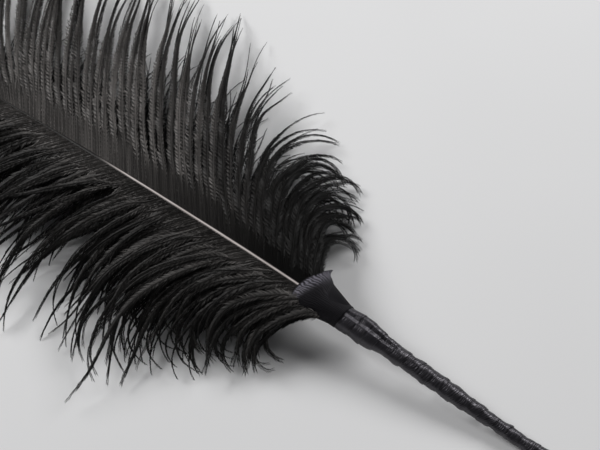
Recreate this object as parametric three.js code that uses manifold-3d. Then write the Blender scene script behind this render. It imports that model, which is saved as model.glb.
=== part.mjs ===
// An ostrich feather, dyed black, lying on a flat surface with satin ribbon bound round its quill.
// Millimetres, +Z up. The origin is under the quill's end, where the binding rests on the surface.
// +X points from the feather's tip to the quill's end, so the feather lies along -X, and the shaft
// arches up off the surface between its two ends while the vane droops to it on both sides.
import * as THREE from "three";
import { ParametricGeometry } from "three/addons/geometries/ParametricGeometry.js";
import { mergeVertices } from "three/addons/utils/BufferGeometryUtils.js";
import Module from "manifold-3d";

// The shaft, measured by its distance from the quill's end.
const QUILL_LENGTH = 100; // bound quill, from its end to the mouth of the binding
const VANE_LENGTH = 205; // shaft that carries the vane
const SHAFT_LENGTH = QUILL_LENGTH + VANE_LENGTH;
const SHAFT_REST_HEIGHT = 2.2; // centre line above the surface at both ends
const SHAFT_ARCH = 16; // how much higher the middle of the shaft stands
const SHAFT_SWEEP = 9; // how far the tip bends to the side
const QUILL_END_RADIUS = 1.25;
const QUILL_RADIUS = 1.9; // at the mouth of the binding
const SHAFT_TIP_RADIUS = 0.35;
const SHAFT_SIDES = 8;
const SHAFT_RINGS = 26;

// The vane: locks of barbs that leave both sides of the shaft and part from each other further out.
const LOCKS_PER_SIDE = 30;
const LOCK_STATIONS = 10; // cross-sections along one lock
const WEB_STATIONS = 4; // the first of them are joined to the neighbours
const ROOT_THICKNESS = 1.5;
const TIP_THICKNESS = 0.5;
const PATH_STEPS = 48; // steps in which a barb's path is added up
// The two sides: length of the longest barbs; their least share of it, the share they rise to over
// the places of `rise`, and the places of `settle`, over which they rise to all of it; then, in
// degrees, the angle from the tip's direction at which barbs leave the shaft and their further turn
// back towards the quill; and how lean, curl and lateness differ by the binding, which fades out
// over the places of `base`.
const SPREAD_SIDE = {
  side: 1,
  length: 126,
  leastShare: 0.33,
  kneeShare: 0.63,
  rise: [-0.06, 0.04],
  settle: [0.06, 0.2],
  launch: 50,
  curl: 17,
  base: [0.02, 0.17],
  baseLean: -8,
  baseCurl: 116,
  baseLateness: 1.5,
};
const DROOPING_SIDE = {
  side: -1,
  length: 83,
  leastShare: 0.66,
  kneeShare: 0.93,
  rise: [-0.1, 0.12],
  settle: [0.1, 0.3],
  launch: 60,
  curl: 20,
  base: [-0.05, 0.34],
  baseLean: 13,
  baseCurl: 90,
  baseLateness: 1.1,
};

// The satin ribbon: a folded collar over the vane's base, then turns wound down to the quill's end.
const COLLAR_LENGTH = 14.6; // from the mouth to the first wound turn
const MOUTH_LOWER = 7.4; // the mouth's reach to -Y of the shaft
const MOUTH_UPPER = 12.8; // and to +Y
const MOUTH_SLANT = 5.2; // how much nearer the quill's end the +Y corner of the mouth lies
const MOUTH_HALF_HEIGHT = 2.7;
const RIBBON_PITCH = 5.1; // from one wound turn to the next
const RIBBON_STEP = 0.45; // how far a turn's free edge stands over the next turn
const EDGE_RUN = 0.25; // length of that step along the quill
const RIBBON_END = -2; // the binding runs on past the quill's end and closes over it
const RIBBON_GAP = 0.3; // between the ribbon and the quill inside it
const RIBBON_SIDES = 20;
const COLLAR_RINGS = 6;

const BLACK_BARBS = new THREE.MeshStandardMaterial({ color: 0x26241f, roughness: 0.85, metalness: 0 });
const BLACK_SATIN = new THREE.MeshStandardMaterial({ color: 0x17151b, roughness: 0.4, metalness: 0 });

/** 0 up to `low`, 1 from `high`, and a smooth rise between them. */
const smooth = (low, high, x) => THREE.MathUtils.smoothstep(x, low, high);

/** A repeatable number from 0 to 1 for the whole number `index`; `channel` gives unrelated rows. */
function scatter(index, channel) {
  const wave = Math.sin(index * 12.9898 + channel * 78.233) * 43758.5453;
  return wave - Math.floor(wave);
}

/** Centre of the shaft at `along` from the quill's end. */
function shaftCentre(along) {
  const share = THREE.MathUtils.clamp(along / SHAFT_LENGTH, 0, 1);
  const height = SHAFT_REST_HEIGHT + SHAFT_ARCH * (4 * share * (1 - share)) ** 1.5;
  return new THREE.Vector3(-along, SHAFT_SWEEP * smooth(0.45, 1.35, share), height);
}

/** Radius of the shaft at `along`: the quill swells to the binding's mouth, then the shaft tapers. */
function shaftRadius(along) {
  if (along < QUILL_LENGTH)
    return THREE.MathUtils.lerp(QUILL_END_RADIUS, QUILL_RADIUS, smooth(0, QUILL_LENGTH, along));
  const left = 1 - (along - QUILL_LENGTH) / VANE_LENGTH;
  return SHAFT_TIP_RADIUS + (QUILL_RADIUS - SHAFT_TIP_RADIUS) * Math.max(left, 0) ** 0.8;
}

/** Closed tube round the shaft's centre line from `start` to `end`, `extra` thicker than the shaft. */
function shaftTube(start, end, extra) {
  const last = SHAFT_RINGS + 1;
  const tube = new ParametricGeometry(
    (u, v, target) => {
      const row = Math.round(v * last);
      const ring = THREE.MathUtils.clamp(row - 1, 0, SHAFT_RINGS - 1);
      const along = THREE.MathUtils.lerp(start, end, ring / (SHAFT_RINGS - 1));
      const radius = row === 0 || row === last ? 0 : shaftRadius(along) + extra;
      const angle = -2 * Math.PI * u;
      target.copy(shaftCentre(along));
      target.y += radius * Math.cos(angle);
      target.z += radius * Math.sin(angle);
    },
    SHAFT_SIDES,
    last,
  );
  return tube;
}

/** How much the barbs at `place` are like those by the binding: 1 there and 0 past `base`. */
const baseness = (vane, place) => 1 - smooth(...vane.base, place);

/** Angle in degrees at which the barbs leave the shaft at `place`, from the direction of the tip. */
const launchAngle = (vane, place) =>
  vane.launch - 6 * place - 37 * smooth(0.62, 1, place) - vane.baseLean * baseness(vane, place);

/** Further turn in degrees, back towards the quill, that those barbs make on their way out. */
const curlAngle = (vane, place) =>
  vane.curl + vane.baseCurl * baseness(vane, place) - 10 * smooth(0.7, 1, place);

/** Length of the barbs that start at `place`, from 0 at the mouth of the binding to 1 at the tip. */
function barbLength(vane, place) {
  const risen = THREE.MathUtils.lerp(vane.leastShare, vane.kneeShare, smooth(...vane.rise, place));
  const settled = (1 - vane.kneeShare) * smooth(...vane.settle, place);
  return vane.length * (risen + settled) * (1 - 0.45 * smooth(0.66, 1, place));
}

/**
 * Path of a barb: stations from the shaft (share 0) to its end (share 1), each with the point and
 * the direction in plan. It leaves at the launch angle, curls back towards the quill, and droops.
 */
function barbPath(vane, place, shares, curl, stretch, endHeight) {
  const along = QUILL_LENGTH + place * VANE_LENGTH;
  const root = shaftCentre(along);
  const radius = shaftRadius(along);
  const step = (barbLength(vane, place) * stretch) / PATH_STEPS;
  const lateness = 1.4 + vane.baseLateness * baseness(vane, place);
  const turned = (share) => (curlAngle(vane, place) + curl) * share ** lateness;
  const turnAt = (share) => THREE.MathUtils.degToRad(launchAngle(vane, place) + turned(share));
  const plan = [new THREE.Vector2(root.x, root.y + vane.side * 0.4 * radius)];
  for (let i = 0; i < PATH_STEPS; i++) {
    const turn = turnAt((i + 0.5) / PATH_STEPS);
    const stride = new THREE.Vector2(-Math.cos(turn), vane.side * Math.sin(turn));
    plan.push(plan[i].clone().addScaledVector(stride, step));
  }
  return shares.map((share) => {
    const at = Math.min(Math.floor(share * PATH_STEPS), PATH_STEPS - 1);
    const spot = plan[at].clone().lerp(plan[at + 1], share * PATH_STEPS - at);
    const drooped = THREE.MathUtils.lerp(root.z + 0.3 * radius, endHeight, share ** 1.5);
    const turn = turnAt(share);
    return {
      point: new THREE.Vector3(spot.x, spot.y, drooped + 2.2 * Math.sin(Math.PI * share)),
      across: new THREE.Vector3(-Math.sin(turn), -vane.side * Math.cos(turn), 0),
    };
  });
}

/** What sets one lock apart from its neighbours: extra curl, stretch and the height of its end. */
function lockCharacter(vane, index) {
  const seed = vane.side > 0 ? 0 : 10;
  return {
    curl: 16 * (scatter(index, seed + 1) - 0.5),
    stretch: 0.9 + 0.2 * scatter(index, seed + 2),
    endHeight: index % 2 === 0 ? 0 : 3.2 * scatter(index, seed + 3),
  };
}

/**
 * One side of the vane as a closed comb-like shell. Each lock is a blade with a raised middle. Up
 * to the last web station it shares its edges with its neighbours, and beyond it tapers to a point.
 */
function vaneShell(vane) {
  const positions = [];
  const faces = [];
  const addPoint = (p) => positions.push(p.x, p.y, p.z) / 3 - 1;
  // The faces are listed for the +Y side, and the mirrored side turns each of them round.
  const addTriangle = (a, b, c) => faces.push(...(vane.side > 0 ? [a, b, c] : [a, c, b]));
  const addQuad = (a, b, c, d) => {
    addTriangle(a, b, c);
    addTriangle(a, c, d);
  };
  const shares = Array.from({ length: LOCK_STATIONS }, (_, k) => k / (LOCK_STATIONS - 1));
  const lastWeb = WEB_STATIONS - 1;
  const halfThickness = (place, share) => {
    const root = Math.min(ROOT_THICKNESS / 2, 0.7 * shaftRadius(QUILL_LENGTH + place * VANE_LENGTH));
    return THREE.MathUtils.lerp(root, TIP_THICKNESS / 2, share);
  };
  const pair = (point, half) => ({
    top: addPoint(point.clone().setZ(point.z + half)),
    bottom: addPoint(point.clone().setZ(point.z - half)),
  });

  // The valleys between locks, as far as the web reaches.
  const valleys = Array.from({ length: LOCKS_PER_SIDE + 1 }, (_, j) => {
    const place = j / LOCKS_PER_SIDE;
    const path = barbPath(vane, place, shares.slice(0, WEB_STATIONS), 0, 1, 0);
    return path.map(({ point }, k) => ({ point, ...pair(point, 0.45 * halfThickness(place, shares[k])) }));
  });

  for (let j = 0; j < LOCKS_PER_SIDE; j++) {
    const place = (j + 0.5) / LOCKS_PER_SIDE;
    const { curl, stretch, endHeight } = lockCharacter(vane, j);
    const plain = barbPath(vane, place, shares, 0, 1, 0);
    const own = barbPath(vane, place, shares, curl, stretch, endHeight);
    const [near, far] = [valleys[j], valleys[j + 1]];
    const webHalfWidth = near[lastWeb].point.distanceTo(far[lastWeb].point) / 2;
    const middle = plain.map(({ point }, k) => {
      const free = smooth(shares[lastWeb] - 0.12, shares[lastWeb] + 0.3, shares[k]);
      return point.clone().lerp(own[k].point, free);
    });
    const ridge = middle.slice(0, -1).map((point, k) => pair(point, halfThickness(place, shares[k])));
    const tip = addPoint(middle[LOCK_STATIONS - 1]);
    const edges = [near, far].map((valley, which) =>
      shares.slice(0, -1).map((share, k) => {
        if (k <= lastWeb) return valley[k];
        const out = (share - shares[lastWeb]) / (1 - shares[lastWeb]);
        const half = webHalfWidth * (0.9 - 0.75 * out ** 1.2) * (which === 0 ? 1 : -1);
        const corner = addPoint(middle[k].clone().addScaledVector(own[k].across, -half));
        return { top: corner, bottom: corner };
      }),
    );
    const [nearEdge, farEdge] = edges;
    for (let k = 0; k < LOCK_STATIONS - 2; k++) {
      addQuad(nearEdge[k].top, nearEdge[k + 1].top, ridge[k + 1].top, ridge[k].top);
      addQuad(ridge[k].top, ridge[k + 1].top, farEdge[k + 1].top, farEdge[k].top);
      addQuad(nearEdge[k].bottom, ridge[k].bottom, ridge[k + 1].bottom, nearEdge[k + 1].bottom);
      addQuad(ridge[k].bottom, farEdge[k].bottom, farEdge[k + 1].bottom, ridge[k + 1].bottom);
    }
    const end = LOCK_STATIONS - 2;
    addTriangle(nearEdge[end].top, tip, ridge[end].top);
    addTriangle(ridge[end].top, tip, farEdge[end].top);
    addTriangle(nearEdge[end].bottom, ridge[end].bottom, tip);
    addTriangle(ridge[end].bottom, farEdge[end].bottom, tip);
    // Where the web ends, each valley's top and bottom meet the sharp edge of the lock's free part.
    const notch = nearEdge[lastWeb + 1].top;
    addTriangle(near[lastWeb].top, near[lastWeb].bottom, notch);
    addTriangle(far[lastWeb].bottom, far[lastWeb].top, farEdge[lastWeb + 1].top);
    // The root wall, which ends up inside the shaft.
    addQuad(near[0].bottom, near[0].top, ridge[0].top, ridge[0].bottom);
    addQuad(ridge[0].bottom, ridge[0].top, far[0].top, far[0].bottom);
  }
  for (let k = 0; k < lastWeb; k++) {
    const [first, last] = [valleys[0], valleys[LOCKS_PER_SIDE]];
    addQuad(first[k].bottom, first[k + 1].bottom, first[k + 1].top, first[k].top);
    addQuad(last[k].top, last[k + 1].top, last[k + 1].bottom, last[k].bottom);
  }
  const shell = new THREE.BufferGeometry();
  shell.setAttribute("position", new THREE.Float32BufferAttribute(positions, 3));
  shell.setIndex(faces);
  return shell;
}

/** Outer radius of the wound ribbon at `along` from the quill's end. */
function windingRadius(along) {
  const swell = 3.1 - 0.85 * (1 - smooth(18, 42, along)) + 1.5 * smooth(62, 74, along);
  return swell + 0.12 * Math.sin(along * 0.55) + 0.15 * Math.exp(-((along / 6) ** 2));
}

/** Point of the collar at `share` from the mouth (0) to the first wound turn (1). */
function collarPoint(share, angle, target) {
  const across = Math.cos(angle);
  const inner = QUILL_LENGTH - COLLAR_LENGTH;
  const round = windingRadius(inner);
  const mouthReach = across > 0 ? MOUTH_UPPER : MOUTH_LOWER;
  const narrowing = across > 0 ? 1 - (1 - share) ** 1.8 : share ** 1.4;
  const reach = THREE.MathUtils.lerp(mouthReach, round, narrowing);
  const height = THREE.MathUtils.lerp(MOUTH_HALF_HEIGHT, round, share);
  const sideways = reach * across;
  const mouth = QUILL_LENGTH - MOUTH_SLANT * (0.3 + (0.7 * sideways) / MOUTH_UPPER);
  const along = THREE.MathUtils.lerp(mouth, inner, share);
  target.copy(shaftCentre(along));
  target.y += sideways;
  target.z += height * Math.sin(angle);
}

/** Outside of the ribbon as one closed surface, its wound turns lapped towards the quill's end. */
function ribbonOutside() {
  const first = QUILL_LENGTH - COLLAR_LENGTH;
  const turns = Math.ceil((first - RIBBON_END) / RIBBON_PITCH) + 1;
  const rows = COLLAR_RINGS + 2 * turns + 3;
  return new ParametricGeometry(
    (u, v, target) => {
      const row = Math.round((1 - v) * rows);
      const angle = -2 * Math.PI * u;
      if (row === 0) {
        target.copy(shaftCentre(QUILL_LENGTH - 1.5));
        return;
      }
      if (row <= COLLAR_RINGS + 1) {
        collarPoint((row - 1) / COLLAR_RINGS, angle, target);
        return;
      }
      const wound = row - COLLAR_RINGS - 2;
      const turned = RIBBON_PITCH * (Math.floor(wound / 2) + u);
      const high = wound % 2 === 0;
      const run = Math.min(EDGE_RUN, turned);
      const along = THREE.MathUtils.clamp(first - turned + (high ? run : -run) / 2, RIBBON_END, first);
      const lapped = high && turned > 0 && along > RIBBON_END;
      const radius = row === rows ? 0 : windingRadius(along) + (lapped ? RIBBON_STEP : 0);
      target.copy(shaftCentre(along));
      target.y += radius * Math.cos(angle);
      target.z += radius * Math.sin(angle);
    },
    RIBBON_SIDES,
    rows,
  );
}

/** A closed geometry as a manifold-3d solid, without the triangles that share a corner twice. */
function solidOf(wasm, geometry) {
  const bare = new THREE.BufferGeometry();
  bare.setAttribute("position", geometry.getAttribute("position"));
  bare.setIndex(geometry.index);
  const merged = mergeVertices(bare, 1e-3);
  const corners = merged.index.array;
  const kept = [];
  for (let i = 0; i < corners.length; i += 3) {
    const [a, b, c] = corners.subarray(i, i + 3);
    if (a !== b && b !== c && c !== a) kept.push(a, b, c);
  }
  const mesh = new wasm.Mesh({
    numProp: 3,
    vertProperties: merged.getAttribute("position").array,
    triVerts: new Uint32Array(kept),
  });
  return new wasm.Manifold(mesh);
}

/** A manifold-3d solid as a named mesh. */
function meshOf(solid, name, material) {
  const { vertProperties, triVerts } = solid.getMesh();
  const geometry = new THREE.BufferGeometry();
  geometry.setAttribute("position", new THREE.BufferAttribute(vertProperties, 3));
  geometry.setIndex(new THREE.BufferAttribute(triVerts, 1));
  geometry.computeVertexNormals();
  const mesh = new THREE.Mesh(geometry, material);
  mesh.name = name;
  return mesh;
}

const wasm = await Module();
wasm.setup();

const shaft = solidOf(wasm, shaftTube(0, SHAFT_LENGTH, 0));
const plume = shaft.add(solidOf(wasm, vaneShell(SPREAD_SIDE))).add(solidOf(wasm, vaneShell(DROOPING_SIDE)));

const surface = new THREE.BoxGeometry(60, 60, 10).translate(0, 0, -5);
const bore = solidOf(wasm, shaftTube(-RIBBON_GAP, QUILL_LENGTH + 10, RIBBON_GAP));
const binding = solidOf(wasm, ribbonOutside()).subtract(bore).subtract(solidOf(wasm, surface));

const feather = new THREE.Group();
feather.add(meshOf(plume, "feather", BLACK_BARBS), meshOf(binding, "ribbon", BLACK_SATIN));

export default feather;
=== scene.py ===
"""An ostrich feather dyed black, with satin ribbon bound round its quill, on a pale surface.

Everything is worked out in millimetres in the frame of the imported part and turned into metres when
a mesh is made. "Along" is the distance from the quill's end, measured against +X, and the shaft
runs from 0 there to the tip of the feather. "Place" is 0 where the vane begins and 1 at its tip.
"""

import logging
import math
from collections.abc import Callable
from dataclasses import dataclass, fields, replace
from enum import Enum

import bpy
import numpy as np
from mathutils import Matrix, Vector


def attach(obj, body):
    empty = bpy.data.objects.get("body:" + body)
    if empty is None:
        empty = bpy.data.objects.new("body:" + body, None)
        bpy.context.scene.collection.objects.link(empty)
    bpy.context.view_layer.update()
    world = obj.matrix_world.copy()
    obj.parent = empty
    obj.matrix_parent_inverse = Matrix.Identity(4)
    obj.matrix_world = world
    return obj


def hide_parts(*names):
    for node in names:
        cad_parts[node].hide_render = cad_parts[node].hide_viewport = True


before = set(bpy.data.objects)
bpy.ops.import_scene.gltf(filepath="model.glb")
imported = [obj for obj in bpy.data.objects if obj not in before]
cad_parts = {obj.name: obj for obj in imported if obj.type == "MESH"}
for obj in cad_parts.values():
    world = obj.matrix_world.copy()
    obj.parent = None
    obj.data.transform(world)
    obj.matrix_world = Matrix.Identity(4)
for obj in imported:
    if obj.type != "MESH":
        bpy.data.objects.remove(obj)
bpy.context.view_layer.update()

MM = 0.001
UV_MAP = "OFBake"
UP = np.array([0.0, 0.0, 1.0])
log = logging.getLogger("feather")

Array = np.ndarray
Span = tuple[float, float]
Triple = tuple[float, float, float]


def smooth(low: float, high: float, x: Array) -> Array:
    """A smooth step: 0 up to low, 1 from high, and 3t^2 - 2t^3 between them.

    Args:
        low: where the step begins.
        high: where it ends.
        x: the values to map.

    Returns:
        The step's value for each x.
    """
    t = np.clip((np.asarray(x, float) - low) / (high - low), 0.0, 1.0)
    return t * t * (3.0 - 2.0 * t)


def bump(x: Array, middle: float, width: float) -> Array:
    """A bell curve of height 1 round middle: exp(-((x - middle) / width)^2)."""
    return np.exp(-(((np.asarray(x, float) - middle) / width) ** 2))


def scatter(index: Array, channel: int) -> Array:
    """Repeatable numbers from 0 to 1: the fractions of 43758.5453 sin(12.9898 i + 78.233 c)."""
    wave = np.sin(np.asarray(index, float) * 12.9898 + channel * 78.233) * 43758.5453
    return wave - np.floor(wave)


def unit(v: Array) -> Array:
    """The same directions with length 1."""
    return v / np.maximum(np.linalg.norm(v, axis=-1, keepdims=True), 1e-12)


def dealt(count: int, least: int, most: int, random: np.random.Generator) -> Array:
    """Deals things in a row into groups of neighbours, by the running sum of the groups' sizes.

    Args:
        count: how many things there are.
        least: the fewest in a group.
        most: the most in a group.
        random: the source of scattered values.

    Returns:
        Each thing's group.
    """
    sizes = random.integers(least, most + 1, count)
    return np.searchsorted(np.cumsum(sizes), np.arange(count), side="right")


def middles(value: Array, group: Array) -> Array:
    """The mean of a value over each group."""
    return np.bincount(group, value) / np.bincount(group)


class Side(Enum):
    """The two sides of the vane, by the sign of Y."""

    SPREAD = 1
    DROOPING = -1


@dataclass(frozen=True)
class Shell:
    """A mesh being made: points in millimetres, faces of three or four corners, and corner UVs."""

    points: Array
    faces: tuple[Array, ...]
    uvs: tuple[Array, ...]
    marks: dict[str, Array]

    def into_object(self, name: str, finish: "Finish", smooth_shading: bool) -> bpy.types.Object:
        """Makes the mesh object, in metres, with its finish, riding on the part.

        Args:
            name: the piece's name.
            finish: what its surface is made of.
            smooth_shading: whether the faces are shaded as one rounded surface.

        Returns:
            The new object, linked to the scene.
        """
        mesh = bpy.data.meshes.new(name)
        mesh.vertices.add(len(self.points))
        mesh.vertices.foreach_set("co", (self.points * MM).astype(np.float32).ravel())
        corners = np.concatenate([f.ravel() for f in self.faces])
        sizes = np.concatenate([np.full(len(f), f.shape[1]) for f in self.faces])
        mesh.loops.add(len(corners))
        mesh.loops.foreach_set("vertex_index", corners.astype(np.int32))
        mesh.polygons.add(len(sizes))
        starts = np.concatenate([[0], np.cumsum(sizes)[:-1]])
        mesh.polygons.foreach_set("loop_start", starts.astype(np.int32))
        mesh.polygons.foreach_set("use_smooth", np.full(len(sizes), smooth_shading))
        mesh.update(calc_edges=True)
        layer = mesh.uv_layers.new(name=UV_MAP)
        uv = np.concatenate([u.reshape(-1, 2) for u in self.uvs])
        layer.uv.foreach_set("vector", uv.astype(np.float32).ravel())
        for mark, values in self.marks.items():
            attribute = mesh.attributes.new(mark, "FLOAT", "POINT")
            attribute.data.foreach_set("value", values.astype(np.float32))
        mesh.materials.append(finish.material())
        piece = bpy.data.objects.new(name, mesh)
        bpy.context.scene.collection.objects.link(piece)
        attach(piece, "root")
        return piece


def lattice(rows: int, columns: int, closed: bool) -> tuple[Array, Array]:
    """Four-cornered faces over a lattice of points numbered row by row.

    Args:
        rows: how many rows of points there are.
        columns: how many points a row has.
        closed: whether the last column is joined to the first.

    Returns:
        The faces' point numbers, and for each corner its row and column, not wrapped round.
    """
    across = columns if closed else columns - 1
    i, j = (a.ravel() for a in np.meshgrid(np.arange(rows - 1), np.arange(across), indexing="ij"))
    steps = np.array([[0, 0], [0, 1], [1, 1], [1, 0]])
    places = np.stack([i, j], 1)[:, None, :] + steps
    return places[..., 0] * columns + places[..., 1] % columns, places


def fan(ring: Array, hub: int, reverse: bool) -> Array:
    """Triangles from each pair of neighbours on a closed ring of points to one hub point."""
    after = np.roll(ring, -1)
    pair = (after, ring) if reverse else (ring, after)
    return np.stack([*pair, np.full(len(ring), hub)], 1)


# ---------------------------------------------------------------------------------------------
# Finishes


class Nodes:
    """A small builder for one material's nodes."""

    def __init__(self, name: str) -> None:
        """Starts a material with a Principled shader.

        Args:
            name: the material's name.
        """
        self.made = bpy.data.materials.new(name)
        self.made.use_nodes = True
        self.tree = self.made.node_tree
        self.shader = self.tree.nodes["Principled BSDF"]

    def add(self, kind: str, **settings: object) -> bpy.types.Node:
        """Adds a node and sets its properties.

        Args:
            kind: Blender's name for the node's type.
            settings: properties of the node by name.

        Returns:
            The node.
        """
        node = self.tree.nodes.new(kind)
        for name, value in settings.items():
            setattr(node, name, value)
        return node

    def feed(self, source: object, target: bpy.types.NodeSocket) -> None:
        """Joins a socket to an input, or sets the input to a value."""
        if isinstance(source, bpy.types.NodeSocket):
            self.tree.links.new(source, target)
        else:
            target.default_value = source

    def dress(self, colour: object, roughness: object, specular: float) -> None:
        """Gives the shader its base colour, roughness and specular level, as sockets or values."""
        self.feed(colour, self.shader.inputs["Base Color"])
        self.feed(roughness, self.shader.inputs["Roughness"])
        self.feed(specular, self.shader.inputs["Specular IOR Level"])

    def place(self) -> bpy.types.NodeSocket:
        """The place on the piece, in metres."""
        return self.add("ShaderNodeTexCoord").outputs["Object"]

    def attribute(self, name: str) -> bpy.types.NodeSocket:
        """The value of one of the piece's own attributes."""
        return self.add("ShaderNodeAttribute", attribute_name=name).outputs["Fac"]

    def stretched(self, coordinates: bpy.types.NodeSocket, scale: Triple) -> bpy.types.NodeSocket:
        """Some coordinates, each times its own scale."""
        node = self.add("ShaderNodeMapping")
        node.inputs["Scale"].default_value = scale
        self.feed(coordinates, node.inputs["Vector"])
        return node.outputs["Vector"]

    def noise(self, coordinates: bpy.types.NodeSocket, scale: float, detail: float) -> bpy.types.NodeSocket:
        """Noise from 0 to 1 over some coordinates."""
        node = self.add("ShaderNodeTexNoise")
        node.inputs["Scale"].default_value = scale
        node.inputs["Detail"].default_value = detail
        self.feed(coordinates, node.inputs["Vector"])
        return node.outputs["Fac"]

    def math(self, operation: str, a: object, b: object = 0.0, c: object = 0.0) -> bpy.types.NodeSocket:
        """One step of arithmetic on sockets or numbers.

        Args:
            operation: Blender's name for it, such as ADD.
            a: the first socket or number.
            b: the second.
            c: the third, where the operation has one.

        Returns:
            The result's socket.
        """
        node = self.add("ShaderNodeMath", operation=operation)
        for socket, value in zip(node.inputs, (a, b, c)):
            self.feed(value, socket)
        return node.outputs[0]

    def ramp(self, factor: bpy.types.NodeSocket, stops: tuple) -> bpy.types.NodeSocket:
        """Colours along a factor.

        Args:
            factor: the value that picks the colour.
            stops: pairs of a position and a linear colour.

        Returns:
            The colour's socket.
        """
        node = self.add("ShaderNodeValToRGB")
        elements = node.color_ramp.elements
        while len(elements) < len(stops):
            elements.new(0.5)
        for element, (position, colour) in zip(elements, stops):
            element.position = position
            element.color = (*colour, 1.0)
        self.feed(factor, node.inputs["Fac"])
        return node.outputs["Color"]

    def mixed(self, factor: bpy.types.NodeSocket, a: object, b: object) -> bpy.types.NodeSocket:
        """The colour a where the factor is 0 and b where it is 1, each a socket or a value."""
        node = self.add("ShaderNodeMix", data_type="RGBA")
        for name, source in (("Factor", factor), ("A", a), ("B", b)):
            self.feed(source, node.inputs[name])
        return node.outputs["Result"]

    def emboss(self, height: bpy.types.NodeSocket, strength: float, depth: float) -> None:
        """Embosses the surface with a height from 0 to 1, times a depth in metres."""
        node = self.add("ShaderNodeBump")
        node.inputs["Strength"].default_value = strength
        node.inputs["Distance"].default_value = depth
        self.feed(height, node.inputs["Height"])
        self.feed(node.outputs["Normal"], self.shader.inputs["Normal"])


@dataclass(frozen=True)
class Finish:
    """What a surface is made of."""

    name: str
    slot: str

    def material(self) -> bpy.types.Material:
        """The finish's material, made once and shared by its pieces."""
        return bpy.data.materials.get(self.name) or self.make()

    def make(self) -> bpy.types.Material:
        """Builds the material."""
        raise NotImplementedError


@dataclass(frozen=True)
class DyedBarbs(Finish):
    """Feather barbs dyed black: soft, a little glossy, slightly uneven in how deep the dye went, with painted
    shade and painted light in their tone.
    """

    deep: Triple = (0.0028, 0.0026, 0.0025)
    # the ramp's palest end: pale dye and painted light
    pale_and_lit: Triple = (0.172, 0.161, 0.154)
    patches: float = 60.0  # of deeper and fainter dye in a metre
    deepest_patch: float = 0.5  # what a tone is times where the dye went deepest
    roughness: float = 0.55
    specular: float = 0.2

    def make(self) -> bpy.types.Material:
        """Tone from each barb's own mark and a broad noise, as one ramp from deep black to its palest; the
        mark holds painted shade and painted light besides the uneven dye.
        """
        nodes = Nodes(self.name)
        broad = nodes.math("ADD", nodes.noise(nodes.place(), self.patches, 2.0), self.deepest_patch)
        tone = nodes.math("MULTIPLY", nodes.attribute("tone"), broad)
        nodes.dress(nodes.ramp(tone, ((0.0, self.deep), (1.0, self.pale_and_lit))), self.roughness, self.specular)
        return nodes.made


@dataclass(frozen=True)
class Horn(Finish):
    """The shaft: pale horn along its ridge, black everywhere else."""

    pale: Triple = (0.72, 0.66, 0.64)
    shade: Triple = (0.48, 0.42, 0.40)
    dyed: Triple = (0.010, 0.009, 0.0085)
    streaks: Triple = (60.0, 2500.0, 2500.0)  # in a metre, along the shaft and across it
    roughness: float = 0.5
    specular: float = 0.2
    grain: float = 0.25  # how strongly the streaks stand out
    grain_depth: float = 0.0001  # metres

    def make(self) -> bpy.types.Material:
        """Pale and dyed colours mixed by the ridge mark, with fine streaks along the shaft."""
        nodes = Nodes(self.name)
        streaks = nodes.noise(nodes.stretched(nodes.place(), self.streaks), 1.0, 3.0)
        horn = nodes.ramp(streaks, ((0.3, self.shade), (0.65, self.pale)))
        colour = nodes.mixed(nodes.attribute("ridge"), (*self.dyed, 1.0), horn)
        nodes.dress(colour, self.roughness, self.specular)
        nodes.emboss(streaks, self.grain, self.grain_depth)
        return nodes.made


@dataclass(frozen=True)
class Satin(Finish):
    """Black satin ribbon: fine threads along its length that catch the light across them."""

    black: Triple = (0.0030, 0.0028, 0.0035)
    lit: Triple = (0.012, 0.0115, 0.0145)
    # drawn: the colour of the painted highlight on the collar's folded edge
    drawn: Triple = (0.150, 0.143, 0.170)
    threads: float = 44.0  # bunches of threads in a unit of the map
    breaks: float = 30.0  # how often they bend and fade along a unit of the map
    bend: float = 2.4  # by how many bunches they bend
    contrast: float = 0.65
    roughness: float = 0.27  # between the threads
    thread_roughness: float = 0.25  # what is added on them
    specular: float = 0.74
    tint: tuple = (0.95, 0.91, 1.0, 1.0)
    weave: float = 0.8  # how strongly the threads stand out
    weave_depth: float = 0.00012  # metres

    def make(self) -> bpy.types.Material:
        """Bunched threads as a sine over the UV's u, across the ribbon, that noise bends and fades.

        Where the ribbon is marked on the collar's folded edge its threads are painted paler, a painted
        highlight.
        """
        nodes = Nodes(self.name)
        uv = nodes.add("ShaderNodeUVMap", uv_map=UV_MAP).outputs["UV"]
        across = nodes.add("ShaderNodeSeparateXYZ")
        nodes.feed(uv, across.inputs["Vector"])
        drift = nodes.noise(nodes.stretched(uv, (0.5 * self.threads, self.breaks, 1.0)), 1.0, 3.0)
        bent = nodes.math("MULTIPLY", drift, self.bend)
        phase = nodes.math("MULTIPLY_ADD", across.outputs["X"], self.threads, bent)
        wave = nodes.math("SINE", nodes.math("MULTIPLY", phase, 2.0 * math.pi))
        faded = nodes.math("MULTIPLY", wave, nodes.math("MULTIPLY", drift, self.contrast))
        threads = nodes.math("ADD", faded, 0.5)
        close = nodes.ramp(threads, ((0.40, self.black), (0.85, self.lit)))
        # the painted highlight on the collar's folded edge
        apart = nodes.ramp(threads, ((0.25, self.lit), (0.75, self.drawn)))
        rough = nodes.math("MULTIPLY_ADD", threads, self.thread_roughness, self.roughness)
        nodes.dress(nodes.mixed(nodes.attribute("fold"), close, apart), rough, self.specular)
        nodes.shader.inputs["Specular Tint"].default_value = self.tint
        nodes.emboss(threads, self.weave, self.weave_depth)
        return nodes.made


BARBS = DyedBarbs("dyed_barbs", "feather_barbs")
HORN = Horn("shaft_horn", "feather_barbs")
SATIN = Satin("black_satin", "ribbon_satin")
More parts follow.
